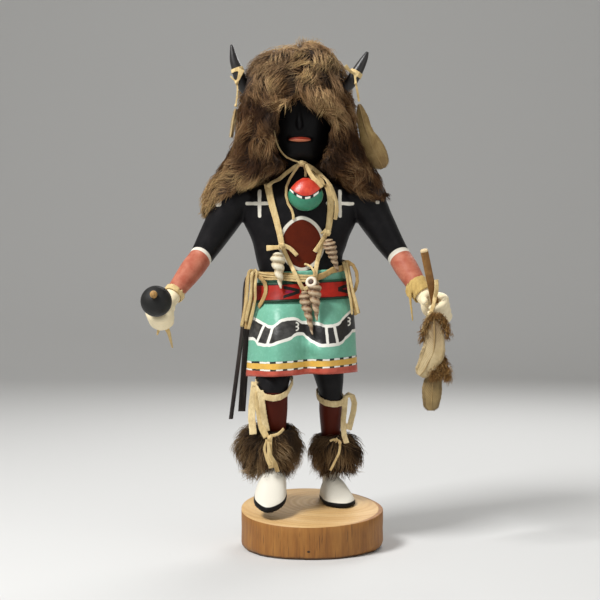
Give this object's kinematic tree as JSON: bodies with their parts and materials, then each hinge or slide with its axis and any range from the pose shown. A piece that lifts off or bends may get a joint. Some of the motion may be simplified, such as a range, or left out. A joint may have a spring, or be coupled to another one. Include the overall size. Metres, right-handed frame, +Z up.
{
  "type": "carved kachina doll",
  "caption": "Carved and painted wooden doll of a horned buffalo dancer with a real fur hood, leather kilt, rattle, feathers and shells, standing on a slice of wood.",
  "frame": {"origin": "middle of the slab's flat underside", "axes": "+Z up, the doll faces -Y, and +X is towards the doll's left hand, which holds the stick"},
  "size_m": [0.242, 0.129, 0.406],
  "materials": {
    "slab_wood": "bare sanded cottonwood with a darker side",
    "painted_figure": "matte paint over carved wood: black body, terracotta forearms, white hands and moccasins",
    "horn_paint": "satin black paint",
    "hood_fur": "long brown fur with paler tips",
    "kilt_leather": "satin turquoise paint with black, white, yellow and red bands",
    "belt_leather": "satin red paint with dark green edges",
    "buckskin": "soft matte tan buckskin",
    "pale_shell": "dull white sea shell",
    "banded_shell": "brown and cream banded sea shell",
    "pendant_paint": "glossy red and green paint",
    "feather": "matte tan feather",
    "stick_wood": "ochre brown paint worn at the edges",
    "rattle_paint": "matte black paint",
    "anklet_fur": "grey-brown fur",
    "slat_paint": "satin black-brown paint, paler at the edge"
  },
  "bodies": {
    "root": {"base_slab": "slab_wood", "figure": "painted_figure", "horn_right": "horn_paint", "horn_left": "horn_paint", "fur_hood": "hood_fur", "kilt": "kilt_leather", "belt": "belt_leather", "waist_thong": "buckskin", "necklace_thong": "buckskin", "shell_right": "pale_shell", "shell_left": "banded_shell", "shell_low_right": "banded_shell", "shell_low_left": "banded_shell", "pendant": "pendant_paint", "chin_tie": "buckskin", "horn_tie_right": "buckskin", "horn_tie_left": "buckskin", "feather_right": "feather", "feather_left": "feather", "rattle_handle": "stick_wood", "rattle_gourd": "rattle_paint", "rattle_tie": "buckskin", "cuff_right": "buckskin", "cuff_left": "buckskin", "dance_stick": "stick_wood", "stick_tie": "buckskin", "feather_upper": "feather", "feather_lower": "feather", "garter_right": "buckskin", "garter_left": "buckskin", "anklet_right": "anklet_fur", "anklet_left": "anklet_fur", "anklet_tie_right": "buckskin", "anklet_tie_left": "buckskin", "sash_slat_long": "slat_paint", "sash_slat_short": "slat_paint"}
  },
  "joints": []
}
